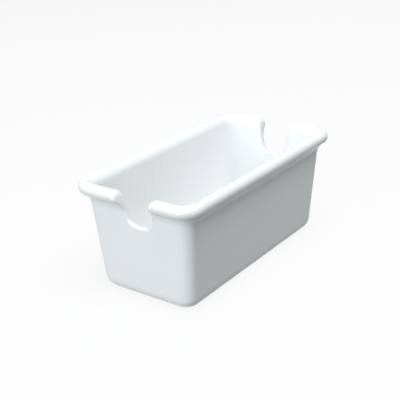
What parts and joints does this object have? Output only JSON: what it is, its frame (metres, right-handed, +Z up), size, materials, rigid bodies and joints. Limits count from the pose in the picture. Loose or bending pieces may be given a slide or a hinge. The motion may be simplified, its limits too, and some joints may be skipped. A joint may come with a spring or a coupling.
{
  "type": "sugar packet holder",
  "caption": "Oblong glazed porcelain tub with leaning walls, a rolled rim and a finger notch in each end, for sugar packets.",
  "frame": {"origin": "on the table, under the middle of the tub", "axes": "+X along the length of the tub, +Y across it, +Z up out of the open top"},
  "size_m": [0.127, 0.0676, 0.054],
  "materials": {
    "porcelain_glaze": "gloss"
  },
  "bodies": {
    "root": {"holder_body": "porcelain_glaze"}
  },
  "joints": []
}
